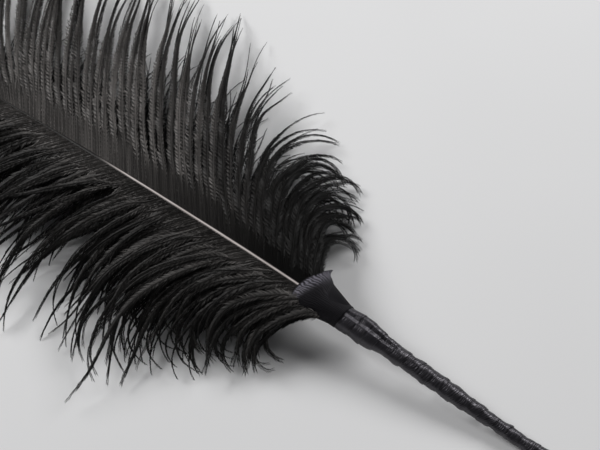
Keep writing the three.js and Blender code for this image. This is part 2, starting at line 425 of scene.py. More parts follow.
# a shaded copy of the satin for the collar: its darker lit colour paints the collar's body in shade, and its
# marked folded edge carries the painted highlight
SHADED_SATIN = Satin(
    "shaded_satin", "ribbon_satin", lit=(0.0042, 0.0040, 0.0050), contrast=0.55, roughness=0.5, specular=0.2
)


# ---------------------------------------------------------------------------------------------
# The feather


@dataclass(frozen=True)
class Shaft:
    """The quill and the shaft that runs on from it, in one slender arch."""

    quill: float = 100.0  # from the quill's end to the mouth of the binding
    vane: float = 205.0  # from there to the tip
    rest_height: float = 2.2
    arch: float = 16.0
    sweep: float = 9.0
    sweep_span: Span = (0.45, 1.35)  # the shares of the length over which it bends sideways
    end_radius: float = 1.25
    quill_radius: float = 1.9
    tip_radius: float = 0.35
    ridge_end: Span = (180.0, 198.0)  # over which the pale ridge runs out
    ridge_half_width: float = 0.40
    ridge_radius: float = 1.7  # the shaft's radius from which the ridge has its full width
    ridge_rim: Span = (0.8, 1.25)  # how its sides fade, in half widths from its middle
    ridge_offset: float = -0.10  # towards +Y
    out_of_round: float = 0.02
    rings: int = 160
    sides: int = 20

    @property
    def length(self) -> float:
        """From the quill's end to the tip."""
        return self.quill + self.vane

    def centre(self, along: Array) -> Array:
        """The centre line: an arch of height (4t(1-t))^1.5 that bends sideways near its tip."""
        along = np.asarray(along, float)
        share = np.clip(along / self.length, 0.0, 1.0)
        height = self.rest_height + self.arch * (4.0 * share * (1.0 - share)) ** 1.5
        return np.stack([-along, self.sweep * smooth(*self.sweep_span, share), height], -1)

    def radius(self, along: Array) -> Array:
        """The radius: it swells to the mouth of the binding and then tapers as (1-t)^0.8."""
        along = np.asarray(along, float)
        quill = self.end_radius + (self.quill_radius - self.end_radius) * smooth(0.0, self.quill, along)
        left = np.clip(1.0 - (along - self.quill) / self.vane, 0.0, 1.0)
        shaft = self.tip_radius + (self.quill_radius - self.tip_radius) * left**0.8
        return np.where(along < self.quill, quill, shaft)

    def ridge(self, along: Array, turn: Array) -> Array:
        """The mark of the pale ridge: 1 in a strip along the top that narrows with the shaft.

        Args:
            along: the circles' distances from the quill's end.
            turn: the angles round a circle, from +Y under the shaft, in radians.

        Returns:
            The mark, a row for each circle.
        """
        radius = self.radius(along)[:, None]
        sideways = np.abs(radius * np.cos(turn) - self.ridge_offset)
        above = -np.sin(turn)[None, :] > 0.1
        width = self.ridge_half_width * np.clip(radius / self.ridge_radius, 0.4, 1.0) ** 1.5
        strip = np.where(above, 1.0 - smooth(*self.ridge_rim, sideways / width), 0.0)
        return strip * (1.0 - smooth(*self.ridge_end, along))[:, None]

    def shell(self) -> Shell:
        """A closed tube: circles of the radius set upright along the centre line, with two poles."""
        along = np.linspace(0.0, self.length, self.rings)
        turn = np.linspace(0.0, 2.0 * np.pi, self.sides, endpoint=False)
        centre = self.centre(along)[:, None, :]
        offset = np.stack([np.zeros_like(turn), np.cos(turn), -np.sin(turn)], -1)
        uneven = 1.0 + self.out_of_round * np.cos(2.0 * turn)[None, :, None] * offset
        rings = centre + self.radius(along)[:, None, None] * offset * uneven
        poles = np.stack([centre[0, 0], centre[-1, 0]])
        points = np.concatenate([rings.reshape(-1, 3), poles])
        marks = {"ridge": np.concatenate([self.ridge(along, turn).ravel(), [0.0, 0.0]])}
        quads, places = lattice(self.rings, self.sides, True)
        uv = places[..., ::-1] / np.array([self.sides, self.rings - 1]) * 0.98 + 0.01
        first = np.arange(self.sides)
        caps = (
            fan(first, len(points) - 2, True),
            fan(first + (self.rings - 1) * self.sides, len(points) - 1, False),
        )
        corner = np.array([[0.0, 0.0], [0.004, 0.0], [0.002, 0.004]])
        cap_uvs = tuple(np.broadcast_to(corner, (len(c), 3, 2)) for c in caps)
        return Shell(points, (quads, *caps), (uv, *cap_uvs), marks)


@dataclass(frozen=True)
class VaneSide:
    """How the barbs of one side grow: their reach in millimetres and their angles in degrees."""

    side: Side
    longest: float
    least_share: float  # the least length, as a share of the longest
    knee_share: float  # the share they rise to over the places of rise
    rise: Span
    settle: Span  # the places over which they rise to all of it
    launch: float  # from the direction of the tip
    curl: float  # their further turn back towards the quill
    base: Span  # the places over which their ways by the binding fade out
    base_lean: float  # how much nearer the tip's direction they leave there
    base_curl: float  # how much more they curl there
    base_lateness: float  # and how much later they do
    disorder: float  # how far neighbours stray from each other, 1 being usual
    relief: float  # how much the barbs of a lock differ in height, and in the painted light and shade that go with it, 1 being usual
    fluff: float  # how much of their spread the barbules keep in a barb's outer half
    fringe: float  # how long the barbules are, 1 being usual
    loose: float  # how far a lock's strands stray from each other, 1 being usual
    gather: float  # how near strands are drawn to their locks, from 0 to 1
    parting: float  # the share of their length beyond which they part again
    sheaf: float  # how near locks are drawn to their neighbours further out, from 0 to 1
    ragged: float  # the most by which a strand is shorter, as a share
    web_shading: Span  # the web's tone by the shaft is this many times the locks', near the binding and far: a painted sheen above 1 and painted shade below 1
    web_reach: float  # the share of their length over which barbs have the web's tone
    short_under: float  # how much less of their length the under barbs have far from the binding
    shade_tones: Span  # the barbs' tone by the binding and beyond it, with painted shade: the spread side darkened by the binding, the drooping side beyond it
    deal: int  # the seed of how its barbs fall
    locks: int = 30
    joining: Span = (0.03, 0.22)  # the shares of their length over which barbs and strands run together
    along_lean: float = 6.0  # how much nearer the tip's direction they leave from 0 to the tip
    tip_lean: float = 37.0  # and how much nearer besides by the tip
    tip_uncurl: float = 10.0  # how much less they curl there
    tip_shorter: float = 0.45  # how much shorter they are there, as a share
    lateness: float = 1.4  # the power of the share of their length by which they turn
    lock_curls: float = 16.0  # between the most and the least that large locks curl
    lock_lift: float = 3.2  # the most that a large lock's end lies above the surface

    @property
    def seed(self) -> int:
        """Where this side's rows of scattered numbers start."""
        return 0 if self.side is Side.SPREAD else 10

    def baseness(self, place: Array) -> Array:
        """How much barbs are like those by the binding: 1 there and 0 past the base's places."""
        return 1.0 - smooth(*self.base, place)

    def launch_angle(self, place: Array) -> Array:
        """The angle from the direction of the tip at which barbs leave the shaft."""
        steady = self.launch - self.along_lean * place - self.tip_lean * smooth(0.62, 1.0, place)
        return steady - self.base_lean * self.baseness(place)

    def curl_angle(self, place: Array) -> Array:
        """How much further they turn back towards the quill on their way out."""
        return self.curl + self.base_curl * self.baseness(place) - self.tip_uncurl * smooth(0.7, 1.0, place)

    def turning(self, place: Array) -> Array:
        """The power of the share of their length by which they turn."""
        return self.lateness + self.base_lateness * self.baseness(place)

    def reach(self, place: Array) -> Array:
        """The length of the barbs: shorter by the binding and towards the tip."""
        risen = self.least_share + (self.knee_share - self.least_share) * smooth(*self.rise, place)
        settled = (1.0 - self.knee_share) * smooth(*self.settle, place)
        return self.longest * (risen + settled) * (1.0 - self.tip_shorter * smooth(0.66, 1.0, place))

    def tone(self, place: Array) -> Array:
        """The barbs' tone from 0 to 1, with painted shade: dark by the binding on the spread side, and dark
        beyond it on the drooping side.
        """
        return self.shade_tones[0] + (self.shade_tones[1] - self.shade_tones[0]) * smooth(0.05, 0.35, place)

    def blended(self, place: Array, of_lock: Callable[[Array], Array]) -> Array:
        """A value that each of the side's large locks has, passing quickly from one to the next."""
        at = np.clip(place * self.locks - 0.5, 0.0, self.locks - 1.0)
        low = np.floor(at)
        part = smooth(0.3, 0.7, at - low)
        return of_lock(low) * (1.0 - part) + of_lock(low + 1.0) * part

    def lock_curl(self, place: Array) -> Array:
        """What a large lock curls more or less than its neighbours, in degrees."""
        most = self.lock_curls * self.disorder
        return self.blended(place, lambda lock: most * (scatter(lock, self.seed + 1) - 0.5))

    def lock_stretch(self, place: Array) -> Array:
        """What a large lock's length is times that of its neighbours."""
        return self.blended(place, lambda lock: 0.9 + 0.2 * scatter(lock, self.seed + 2))

    def lock_end_height(self, place: Array) -> Array:
        """How high a large lock's end lies: every second one touches the surface."""

        def height(lock: Array) -> Array:
            """The height of one lock's end."""
            return np.where(lock % 2 == 0, 0.0, self.lock_lift * scatter(lock, self.seed + 3))

        return self.blended(place, height)


SPREAD_SIDE = VaneSide(
    side=Side.SPREAD,
    longest=126.0,
    least_share=0.33,
    knee_share=0.63,
    rise=(-0.06, 0.04),
    settle=(0.06, 0.20),
    launch=50.0,
    curl=17.0,
    base=(0.02, 0.17),
    base_lean=-8.0,
    base_curl=116.0,
    base_lateness=1.5,
    disorder=1.0,
    relief=1.0,
    fluff=0.0,
    fringe=1.0,
    loose=1.0,
    gather=0.88,
    parting=0.55,
    sheaf=0.66,
    ragged=0.15,
    web_shading=(0.42, 0.97),
    web_reach=0.18,
    short_under=0.16,
    # painted shade by the binding
    shade_tones=(0.02, 0.62),
    deal=411,
)
DROOPING_SIDE = VaneSide(
    side=Side.DROOPING,
    longest=82.0,
    least_share=0.66,
    knee_share=0.93,
    rise=(-0.10, 0.12),
    settle=(0.1, 0.3),
    launch=57.0,
    curl=22.0,
    base=(-0.05, 0.34),
    base_lean=13.0,
    base_curl=96.0,
    base_lateness=1.6,
    disorder=2.8,
    relief=0.45,
    fluff=0.25,
    fringe=0.8,
    loose=1.9,
    gather=0.36,
    parting=0.3,
    sheaf=0.12,
    ragged=0.46,
    web_shading=(2.4, 4.0),
    web_reach=0.28,
    short_under=-0.08,
    # painted shade beyond the binding, darker than the spread side
    shade_tones=(0.20, 0.16),
    deal=21,
)
FAR_OUT: Span = (0.25, 0.55)  # the places over which the vane's outer part takes over from its inner one


@dataclass(frozen=True)
class Sprouts:
    """Where barbs start and how each one is bent: arrays with one value, or one point, a barb."""

    root: Array  # xyz
    launch: Array  # degrees from the direction of the tip
    curl: Array  # degrees that it turns on its way out
    late: Array  # the power of u by which it turns: higher is later
    length: Array
    end: Array  # the height of its end
    hump: Array  # how far its middle rises
    hook: Array  # degrees that its last third turns besides
    swing: Array  # degrees of a slow sideways wave
    phase: Array  # turns


@dataclass(frozen=True)
class Barbs:
    """Many barbs as whole arrays: a row of points each, from the shaft to the tip."""

    points: Array  # barb, station, xyz
    length: Array  # barb
    tone: Array  # barb: 0 deep black to 1 palest, painted shade and painted light included
    fringe: Array  # barb: its barbules' length, as a share of the usual
    spacing: Array  # barb: from one barbule to the next
    web_tone: Array  # barb: its tone in the web by the shaft
    lead: Array  # barb: 1 where it lies on top of its lock
    fluff: Array  # barb: how much of their spread its outer barbules keep
    near: Array  # barb: how long its barbules towards the quill are, as a share of the others

    def rows(self) -> tuple[Array, ...]:
        """All that is known of the barbs, in the order of the fields."""
        return tuple(getattr(self, field.name) for field in fields(self))

    def part(self, keep: Array) -> "Barbs":
        """The barbs that keep picks out."""
        return Barbs(*(row[keep] for row in self.rows()))

    def joined(self, other: "Barbs") -> "Barbs":
        """These barbs and others after them."""
        return Barbs(*(np.concatenate(pair) for pair in zip(self.rows(), other.rows())))

    def directions(self) -> Array:
        """The direction along each barb at each station."""
        return unit(np.gradient(self.points, axis=1))


@dataclass(frozen=True)
class Bundles:
    """How a side's upper barbs lie together: in strands, in locks and in sheaves of locks."""

    place: Array  # barb
    strand: Array  # barb: which strand it is in
    strand_place: Array  # strand
    lock: Array  # strand: which lock it is in
    lock_place: Array  # lock
    sheaf: Array  # lock: which sheaf it is in
    sheaf_place: Array  # sheaf

    def within_locks(self) -> tuple[Array, Array]:
        """Where each barb lies in its lock.

        Returns:
            1 for a lock's first barb and 0 for the others, and the way across the lock from 0 to 1.
        """
        lock = self.lock[self.strand]
        first = np.unique(lock, return_index=True)[1]
        last = np.concatenate([first[1:], [len(lock)]]) - 1
        lead = np.zeros(len(lock))
        lead[first] = 1.0
        begin, end = self.place[first], self.place[last]
        return lead, (self.place - begin[lock]) / (end - begin)[lock]


@dataclass(frozen=True)
class Seats:
    """Where barbules sit on their barbs: arrays with one value, or one direction, a barbule."""

    barb: Array  # which barb it sits on
    room: Array  # how many sit on a flank of that barb
    pair: Array  # which one it is along its flank
    flank: Array  # 1 on the left of the barb's direction and -1 on the right
    share: Array  # how far along the barb it sits, from 0 to 1
    root: Array  # xyz
    ahead: Array  # the direction along the barb
    lateral: Array  # the direction out of the barb's flank


@dataclass(frozen=True)
class Ways:
    """How barbules differ from each other: arrays with one value a barbule."""

    lean: Array  # from 0 to 1, as the next three
    size: Array
    fall: Array
    twist: Array
    tone: Array  # how much paler or darker it is than its barb, 1 being the same: painted light on a group's first two, painted shade on its second two and on a lead barb's near flank, besides random differences
    among: Array  # its number in its group, from 0 to 3
    sunk: Array  # 1 in the group's lower half
    onward: Array  # 1 on the flank towards the tip of the feather
    lead: Array  # 1 where its barb lies on top of its lock
    spread: Array  # how far it spreads over that lock, from 0 to 1


@dataclass(frozen=True)
class Vane:
    """One side's vane: barbs that run together in small locks, each fringed with barbules."""

    shaft: Shaft
    growth: VaneSide
    first_place: float  # under the binding's lip
    top_barbs: int = 430
    under_barbs: int = 190
    stations: int = 24
    barbule_spacing: float = 0.42
    under_spacing: float = 0.8  # from one barbule of the under barbs to the next
    under_depth: float = 0.5  # of their roots below the others
    under_hump: float = 1.0  # how much less their middles rise
    under_share: Span = (0.44, 0.66)  # of the usual length
    # the under barbs' tone, dark as painted shade in the gaps between the locks
    under_shade_tone: Span = (0.06, 0.16)
    barbule_length: float = 2.7
    barbule_width: float = 0.28
    core_radius: float = 0.19
    point_radius: float = 0.004  # of a core's end
    root_offset: float = 0.42  # from the shaft's top line to the roots, across it
    root_depth: float = 0.12  # of the roots in the shaft
    hump: float = 2.2  # how far a barb's middle rises
    crest: float = 1.5  # how much higher the quill's side of a lock lies than its other side
    leading: float = 0.5  # how much higher still its first barb lies
    scattering: Triple = (0.20, 0.20, 0.30)  # how far a lock's barbs lie from each other
    lowest_barb: float = 0.25  # the least height of a barb's middle
    lowest_core: float = 0.02
    lowest_blade: float = 0.04
    stray_launch: float = 3.0  # degrees
    stray_curl: Span = (2.2, 13.0)  # degrees: of every barb, and more in the long curls by the binding
    stray_length: Span = (0.08, 0.18)  # shares, in the same way
    stray_lift: Span = (2.6, 2.5)  # in the same way
    stray_hump: Span = (0.5, 2.0)  # in the same way
    swing: Span = (3.0, 12.0)  # degrees, in the same way
    stray_hook: float = 14.0  # degrees
    curl_hook: Span = (-40.0, 90.0)  # degrees, in the long curls only
    stray_barbs: Span = (0.015, 0.05)  # the share of barbs that leave their strands, and more by the binding
    wildness: Span = (0.4, 2.2)  # how much the others stray, and how much those do
    closeness: Span = (0.85, 0.4)  # how near the others stay to their strands, and how near those do
    most_shorter: float = 0.32  # the most by which a barb is shorter than its strand, as a share
    most_longer: float = 0.05  # the most by which a barb or a strand outgrows its neighbours, as a share
    in_common: float = 0.65  # the share of a barbule's ways that its group has in common
    lean: Span = (25.0, 18.0)  # degrees: the least that barbules lean from their barb, and the most besides
    wider_lean: float = 10.0  # degrees, of those that spread over their lock
    lean_in: float = 0.25  # radians, of their outer half
    fall: Span = (-0.24, 0.30)  # the slope they leave on, and how much it differs
    outer_fall: float = 0.3  # how much steeper their outer half falls
    sinking: float = 0.12  # how much steeper a group's lower half falls
    ripples: float = 17.0  # from one ripple along a barb to the next
    twist: Span = (0.25, 0.4)  # radians that blades turn with the ripples, and how much they differ

    @property
    def sign(self) -> int:
        """1 towards +Y and -1 towards -Y."""
        return self.growth.side.value

    @property
    def shares(self) -> Array:
        """How far along a barb its stations lie, from 0 to 1."""
        return np.linspace(0.0, 1.0, self.stations)

    def paths(self, sprouts: Sprouts) -> Array:
        """Paths that leave the shaft, curl back towards the quill and droop to the surface.

        In plan a path turns by launch + curl u^late + hook s(u)^2 + a sine, u being the share of its
        length, and its points are the running sum of the steps. Its height falls as u^1.5 from the
        root's to the end's, with a low hump sin(pi u) added.

        Args:
            sprouts: the roots and bends.

        Returns:
            The points: one row of stations for each sprout.
        """
        u = self.shares
        middle = (u[1:] + u[:-1]) / 2.0
        turn = sprouts.launch[:, None] + sprouts.curl[:, None] * middle ** sprouts.late[:, None]
        turn = turn + sprouts.hook[:, None] * smooth(0.6, 1.0, middle) ** 2
        wave = np.sin(2.0 * np.pi * (1.5 * middle + sprouts.phase[:, None]))
        turn = np.radians(turn + sprouts.swing[:, None] * middle * wave)
        step = (sprouts.length / (self.stations - 1))[:, None]
        walk = np.stack([-np.cos(turn) * step, self.sign * np.sin(turn) * step], -1)
        plan = np.concatenate([np.zeros((len(walk), 1, 2)), np.cumsum(walk, axis=1)], axis=1)
        root = sprouts.root
        fall = (sprouts.end - root[:, 2])[:, None] * u**1.5
        height = root[:, 2:] + fall + sprouts.hump[:, None] * np.sin(np.pi * u)
        return np.concatenate([root[:, None, :2] + plan, height[..., None]], axis=-1)

    def roots(self, place: Array) -> Array:
        """Points on the upper flank of the shaft, a little under its surface, closing over its far part."""
        along = self.shaft.quill + place * self.shaft.vane
        root = self.shaft.centre(along)
        radius = self.shaft.radius(along)
        edge = np.minimum(self.root_offset, 0.6 * radius) * (1.0 - 0.7 * smooth(0.50, 0.62, place))
        root[:, 1] += self.sign * edge
        root[:, 2] += np.sqrt(radius**2 - edge**2) - self.root_depth
        return root

    def plain(self, place: Array) -> Sprouts:
        """Barbs at their places as their side grows them."""
        growth = self.growth
        inside = np.minimum(place, 1.0)
        none = np.zeros(len(place))
        return Sprouts(
            root=self.roots(place),
            launch=growth.launch_angle(inside),
            curl=growth.curl_angle(inside) + growth.lock_curl(place),
            late=growth.turning(inside),
            length=growth.reach(inside) * growth.lock_stretch(place),
            end=growth.lock_end_height(place),
            hump=none + self.hump,
            hook=none,
            swing=none,
            phase=none,
        )

    def bent(self, place: Array, random: np.random.Generator, wild: Array, curly: Array) -> Sprouts:
        """Barbs at their places, each bent its own way, by scattered values times how much it strays.

        Args:
            place: their places.
            random: the source of scattered values.
            wild: how much each strays, 1 being usual.
            curly: how much of the long curls it has right by the binding, from 0 to 1.

        Returns:
            The bent sprouts.
        """
        plain = self.plain(place)
        count = len(place)
        curls = self.growth.baseness(place) * curly
        stray = wild * self.growth.disorder
        every, more = self.stray_curl
        curl = random.normal(0.0, every, count) * stray + random.normal(0.0, more, count) * curls
        every, more = self.stray_length
        longer = np.minimum(random.uniform(-every, every, count) * wild, self.most_longer)
        longer = longer - more * curls * random.random(count)
        every, more = self.stray_lift
        lift = random.uniform(0.0, every, count) * wild + more * curls * random.random(count)
        every, more = self.stray_hump
        hump = random.normal(0.0, every, count) * stray + curls * random.uniform(0.0, more, count)
        launch = random.normal(0.0, self.stray_launch, count) * (stray - wild)
        hook = random.normal(0.0, self.stray_hook, count) * wild
        hook = hook + curls * random.uniform(*self.curl_hook, count)
        every, more = self.swing
        swing = (every + more * curls) * wild
        return Sprouts(
            root=plain.root,
            launch=plain.launch + launch,
            curl=plain.curl + curl,
            late=plain.late,
            length=plain.length * (1.0 + longer),
            end=plain.end + lift,
            hump=plain.hump + hump,
            hook=hook,
            swing=swing,
            phase=random.random(count),
        )

    def drawn(self, own: Array, bundle: Array, group: Array, reach: Array, pull: Array) -> Array:
        """Draws paths to the paths of their groups.

        Args:
            own: the paths.
            bundle: the groups' paths.
            group: each path's group.
            reach: how far along the group's path each one ends, as a share of it.
            pull: how far each point is drawn, from 0 to 1, for each path and station.

        Returns:
            The paths, point by point own + pull (group's - own), read at the same share.
        """
        at = self.shares * reach[:, None] * (self.stations - 1)
        low = np.minimum(at.astype(int), self.stations - 2)
        part = (at - low)[..., None]
        rows = group[:, None]
        target = bundle[rows, low] * (1.0 - part) + bundle[rows, low + 1] * part
        return own + pull[..., None] * (target - own)

    def bundled(self, random: np.random.Generator) -> Bundles:
        """Places the upper barbs, closer together by the binding, and deals them into bundles.

        Args:
            random: the source of scattered values.

        Returns:
            The barbs in strands of 2 to 4, those in locks of 2 or 3, and those in sheaves of 2 or 3.
        """
        count = self.top_barbs
        share = (np.arange(count) + 0.5 + random.uniform(-0.3, 0.3, count)) / count
        place = self.first_place + (1.0 - self.first_place) * share**1.28
        strand = dealt(count, 2, 4, random)
        strand_place = middles(place, strand)
        lock = dealt(len(strand_place), 2, 3, random)
        lock_place = middles(strand_place, lock)
        sheaf = dealt(len(lock_place), 2, 3, random)
        return Bundles(place, strand, strand_place, lock, lock_place, sheaf, middles(lock_place, sheaf))

    def trunks(self, bundles: Bundles, random: np.random.Generator) -> Array:
        """The locks' paths, each drawn to its sheaf's by a smooth step that rises further out.

        Args:
            bundles: how the barbs lie together.
            random: the source of scattered values.

        Returns:
            A row of points for each lock.
        """
        stems = self.paths(self.bent(bundles.sheaf_place, random, 1.6, 1.0))
        own = self.paths(self.bent(bundles.lock_place, random, 1.0, 1.0))
        begin = (0.35 - 0.17 * smooth(*FAR_OUT, bundles.lock_place))[:, None]
        pull = self.growth.sheaf * smooth(0.0, 0.4, self.shares - begin)
        return self.drawn(own, stems, bundles.sheaf, np.ones(len(own)), pull)

    def limbs(self, bundles: Bundles, random: np.random.Generator) -> tuple[Array, Array]:
        """The strands' paths: drawn to their locks' near the shaft, and parting from them again.

        Args:
            bundles: how the barbs lie together.
            random: the source of scattered values.

        Returns:
            The paths and their lengths.
        """
        growth = self.growth
        trunks = self.trunks(bundles, random)
        place = bundles.strand_place
        count = len(place)
        own = self.bent(place, random, growth.loose, 0.6)
        shorter = growth.ragged * random.random(count) ** 1.2
        own = replace(own, length=own.length * (1.0 - shorter), end=own.end + 9.0 * shorter)
        parted = (0.4 + 0.3 * random.random((count, 1))) * smooth(growth.parting, 1.0, self.shares)
        near = 1.0 - 0.3 * growth.baseness(place)[:, None]
        pull = smooth(*self.growth.joining, self.shares) * (growth.gather * (1.0 - parted)) * near
        return self.drawn(self.paths(own), trunks, bundles.lock, np.ones(count), pull), own.length

    def locked(self) -> Barbs:
        """The upper barbs, drawn together into locks that part into strands with pointed ends.

        Neighbouring barbs are dealt into strands of 2 to 4, strands into locks of 2 or 3, and locks
        into sheaves of 2 or 3. A strand joins its lock by a share that rises near the shaft and
        falls again to its end, and a barb joins its strand in the same way but stays with it. A few
        barbs stray. Each is a little shorter than its strand, and lies at its own small distance
        from it, the first of a lock on top. Painted shade darkens the barbs towards a lock's lower
        side, and painted light makes the first one on top paler.

        Returns:
            The barbs.
        """
        growth = self.growth
        random = np.random.default_rng(growth.deal)
        bundles = self.bundled(random)
        limbs, limb_length = self.limbs(bundles, random)
        u, place, strand, count = self.shares, bundles.place, bundles.strand, self.top_barbs
        baseness, tone = growth.baseness(place), growth.tone(place)
        stray = random.random(count) < self.stray_barbs[0] + self.stray_barbs[1] * baseness
        own = self.bent(place, random, np.where(stray, *self.wildness[::-1]), np.where(stray, 1.0, 0.2))
        reach = 1.0 - self.most_shorter * random.random(count) ** 1.6
        close = np.where(stray, *self.closeness[::-1])[:, None]
        close = close + np.where(stray, 0.0, 0.1)[:, None] * smooth(0.5, 1.0, u)
        points = self.drawn(self.paths(own), limbs, strand, reach, smooth(*growth.joining, u) * close)
        apart = random.normal(0.0, 1.0, (count, 1, 3)) * np.array(self.scattering)
        lead, across = bundles.within_locks()
        apart[:, 0, 2] += growth.relief * self.crest * (0.5 - across) + self.leading * lead
        room = smooth(0.05, 0.3, u) * (1.0 - 0.7 * smooth(0.7, 1.0, u))
        uneven = 1.0 + 0.2 * random.normal(size=count) + 0.9 * (scatter(strand, 5) - 0.5)
        # painted shade towards each lock's lower side, and painted light on its first barb on top
        uneven = uneven * (1.0 - 0.9 * growth.relief * smooth(0.25, 0.85, across) + 0.35 * lead)
        return Barbs(
            points=points + apart * room[None, :, None],
            length=limb_length[strand] * reach,
            tone=np.clip(tone * uneven, 0.0, 1.0),
            fringe=growth.fringe * random.uniform(0.85, 1.2, count) * (1.0 + 0.35 * baseness),
            spacing=np.full(count, self.barbule_spacing),
            web_tone=tone * random.uniform(0.5, 1.3, count),
            lead=lead,
            fluff=growth.fluff + (1.0 - growth.fluff) * baseness,
            near=1.0 - 0.34 * growth.relief * (1.0 - baseness),
        )

    def lower(self) -> Barbs:
        """Shorter barbs under the locks, which fill what shows between them, toned dark as painted shade."""
        random = np.random.default_rng(self.growth.deal + 20)
        count = self.under_barbs
        share = (np.arange(count) + 0.5 + random.uniform(-0.4, 0.4, count)) / count
        place = 0.9 * share**1.15
        sprouts = self.bent(place, random, 1.1, 0.7)
        shorter = random.uniform(*self.under_share, count) + 0.3 * self.growth.baseness(place)
        shorter = shorter - self.growth.short_under * smooth(*FAR_OUT, place)
        root = sprouts.root - self.under_depth * UP
        hump = sprouts.hump - self.under_hump
        sprouts = replace(sprouts, root=root, length=sprouts.length * shorter, hump=hump)
        tone = random.uniform(*self.under_shade_tone, count)
        none = np.zeros(count)
        return Barbs(
            points=self.paths(sprouts),
            length=sprouts.length,
            tone=tone,
            fringe=none + 1.25,
            spacing=none + self.under_spacing,
            web_tone=tone,
            lead=none,
            fluff=none,
            near=none + 1.0,
        )

    def grown(self) -> Barbs:
        """All the barbs of the side, none of them below the surface it lies on."""
        barbs = self.locked().joined(self.lower())
        barbs.points[..., 2] = np.maximum(barbs.points[..., 2], self.lowest_barb)
        order = np.argsort(barbs.points[:, 0, 0])[::-1]
        return barbs.part(order)

    def pale_and_lit(self, barbs: Barbs, barb: Array, share: Array) -> Array:
        """The tone along barbs: their own beyond the web by the shaft, which has a painted sheen on the
        drooping side and painted shade by the binding on the spread side, and darkest in their tips.

        Args:
            barbs: the barbs.
            barb: which of them is asked about.
            share: how far along it, from 0 to 1.

        Returns:
            The tone.
        """
        place = (-barbs.points[:, 0, 0] - self.shaft.quill) / self.shaft.vane
        velvet = (0.40 - 0.18 * smooth(*FAR_OUT, place))[barb]
        reach = self.growth.web_reach
        outside = smooth(0.3 * reach, reach, share)
        near, far = self.growth.web_shading
        # painted sheen and painted shade in the web by the shaft
        web = barbs.web_tone[barb] * (near + (far - near) * smooth(0.27, 0.52, place))[barb]
        dark = 0.45 * smooth(0.0, 0.2, share - velvet) + 0.25 * smooth(0.15, 0.5, share - velvet)
        return (web + (barbs.tone[barb] - web) * outside) * (1.0 - dark)

    def cores(self, barbs: Barbs, columns: Array) -> Shell:
        """Three-sided tubes along the barbs that thin as 1 - 0.35u and close in a point at each end.

        Args:
            barbs: the barbs.
            columns: each barb's place across the UV map, from 0 to 1.

        Returns:
            The tubes, three points a station, in triangles.
        """
        count, stations = len(barbs.length), self.stations
        ahead = barbs.directions()
        lateral = unit(np.cross(UP, ahead))
        upward = np.cross(ahead, lateral)
        radius = self.core_radius * (1.0 - 0.35 * self.shares)
        radius[-1] = self.point_radius
        turn = np.array([90.0, 210.0, 330.0]) * np.pi / 180.0
        offset = lateral[:, :, None] * np.cos(turn)[:, None] + upward[:, :, None] * np.sin(turn)[:, None]
        points = barbs.points[:, :, None] + offset * radius[:, None, None]
        points[..., 2] = np.maximum(points[..., 2], self.lowest_core)
        quads, places = lattice(stations, 3, True)
        ends = np.array([[0, 2, 1], [3 * stations - 3, 3 * stations - 2, 3 * stations - 1]])
        one = np.concatenate([quads[:, [0, 3, 2]], quads[:, [0, 2, 1]], ends[:, ::-1]])
        rows = np.concatenate([places[:, [0, 3, 2]], places[:, [0, 2, 1]]])
        one_uv = rows[..., ::-1] / np.array([3.0, stations - 1.0]) - np.array([0.5, 0.0])
        tiny = np.array([[0.0, 0.0], [0.02, 0.0], [0.0, 0.002]])
        one_uv = np.concatenate([one_uv, np.stack([tiny, tiny + [0.0, 0.998]])])
        faces = (one[None] + 3 * stations * np.arange(count)[:, None, None]).reshape(-1, 3)
        width = 1.0 / count
        uv = one_uv[None] * np.array([0.12 * width, 1.0]) + np.stack([columns, 0 * columns], 1)[:, None, None]
        tone = np.repeat(self.pale_and_lit(barbs, np.arange(count)[:, None], self.shares).ravel(), 3)
        return Shell(points.reshape(-1, 3), (faces,), (uv.reshape(-1, 3, 2),), {"tone": tone})

    def seated(self, barbs: Barbs) -> Seats:
        """Seats for barbules, evenly spaced along both flanks of the barbs and read between stations.

        Args:
            barbs: the barbs.

        Returns:
            The seats, barb by barb from the shaft to the tip, the two flanks in turn.
        """
        number = np.maximum((barbs.length / barbs.spacing).astype(int), 8)
        barb = np.repeat(np.arange(len(number)), number * 2)
        order = np.arange(len(barb)) - np.repeat(np.cumsum(number * 2) - number * 2, number * 2)
        pair = order // 2
        flank = np.where(order % 2 == 0, 1.0, -1.0)
        share = (pair + 0.5 + 0.25 * flank) / number[barb]
        at = share * (self.stations - 1)
        low = np.minimum(at.astype(int), self.stations - 2)
        part = (at - low)[:, None]
        root = barbs.points[barb, low] * (1.0 - part) + barbs.points[barb, low + 1] * part
        headings = barbs.directions()
        ahead = unit(headings[barb, low] * (1.0 - part) + headings[barb, low + 1] * part)
        lateral = unit(np.cross(UP, ahead)) * flank[:, None]
        return Seats(barb, number[barb], pair, flank, share, root, ahead, lateral)

    def ways(self, barbs: Barbs, seats: Seats, random: np.random.Generator) -> Ways:
        """How barbules differ: groups of four have most of their ways in common.

        Args:
            barbs: the barbs.
            seats: where the barbules sit.
            random: the source of scattered values.

        Returns:
            Their ways, each the group's value and their own mixed by the group's share.
        """
        barb, pair, flank, share = seats.barb, seats.pair, seats.flank, seats.share
        group = barb * 400 + pair // 4 + (flank > 0) * 200
        shared = [scatter(group, channel) for channel in (21, 22, 23, 24)]
        own = random.random((4, len(barb)))
        mixed = (self.in_common * a + (1.0 - self.in_common) * b for a, b in zip(shared, own))
        among = (pair + (4.0 * scatter(barb, 8)).astype(int)) % 4
        sunk = (among >= 2).astype(float)
        onward = (flank * self.sign > 0).astype(float)
        lead = barbs.lead[barb] * smooth(0.05, 0.15, share)
        spread = lead * onward * (1.0 - smooth(0.5, 0.75, share))
        shading_depth = self.growth.relief * (0.3 + 0.75 * scatter(barb * 60 + pair // 12, 7))
